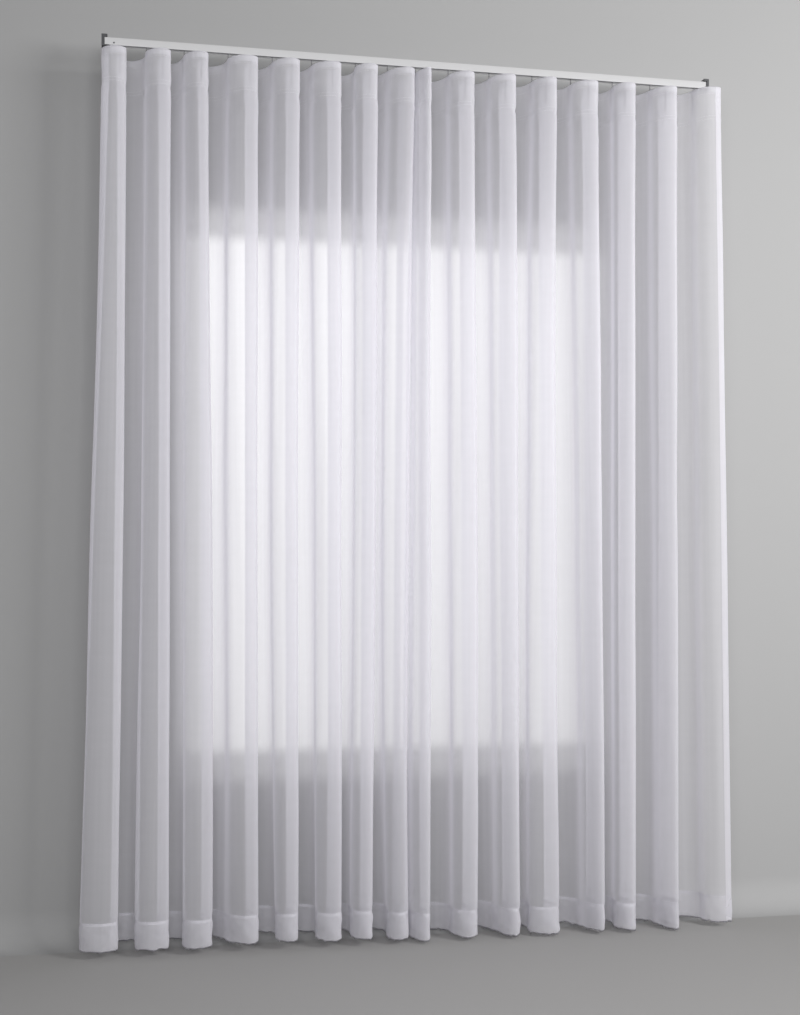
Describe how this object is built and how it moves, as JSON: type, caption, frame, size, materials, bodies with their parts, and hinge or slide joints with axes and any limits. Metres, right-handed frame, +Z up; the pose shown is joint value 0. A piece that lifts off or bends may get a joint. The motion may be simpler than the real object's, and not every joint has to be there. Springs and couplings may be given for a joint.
{
  "type": "pair of sheer voile curtains on a curtain rail",
  "caption": "Floor-length sheer white voile curtain panels with wave folds, hooked to gliders along the underside of one slim white channel rail with dark grey end caps.",
  "frame": {"origin": "middle of the rail's flat top face, where its ceiling or wall brackets clip on", "axes": "+X along the rail to the right as seen from the room, +Y away from the room towards the window, +Z up"},
  "size_m": [1.8928, 0.1194, 2.5213],
  "materials": {
    "voile": "sheer plain-woven polyester voile, cool white, matt",
    "heading_tape": "translucent white woven heading tape, matt",
    "white_rail": "satin white enamel on extruded aluminium",
    "dark_grey_cap": "moulded dark grey plastic, fine matt texture",
    "glider_nylon": "moulded grey nylon, semi-matt"
  },
  "bodies": {
    "root": {"rail": "white_rail", "end_cap_left": "dark_grey_cap", "end_cap_right": "dark_grey_cap", "curtain_left": "voile", "curtain_right": "voile", "heading_tape_left": "heading_tape", "heading_tape_right": "heading_tape", "glider_left_01": "glider_nylon", "glider_left_02": "glider_nylon", "glider_left_03": "glider_nylon", "glider_left_04": "glider_nylon", "glider_left_05": "glider_nylon", "glider_left_06": "glider_nylon", "glider_left_07": "glider_nylon", "glider_left_08": "glider_nylon", "glider_left_09": "glider_nylon", "glider_left_10": "glider_nylon", "glider_left_11": "glider_nylon", "glider_left_12": "glider_nylon", "glider_left_13": "glider_nylon", "glider_left_14": "glider_nylon", "glider_left_15": "glider_nylon", "glider_left_16": "glider_nylon", "glider_right_01": "glider_nylon", "glider_right_02": "glider_nylon", "glider_right_03": "glider_nylon", "glider_right_04": "glider_nylon", "glider_right_05": "glider_nylon", "glider_right_06": "glider_nylon", "glider_right_07": "glider_nylon", "glider_right_08": "glider_nylon", "glider_right_09": "glider_nylon", "glider_right_10": "glider_nylon", "glider_right_11": "glider_nylon", "glider_right_12": "glider_nylon", "glider_right_13": "glider_nylon", "glider_right_14": "glider_nylon", "glider_right_15": "glider_nylon"}
  },
  "joints": []
}
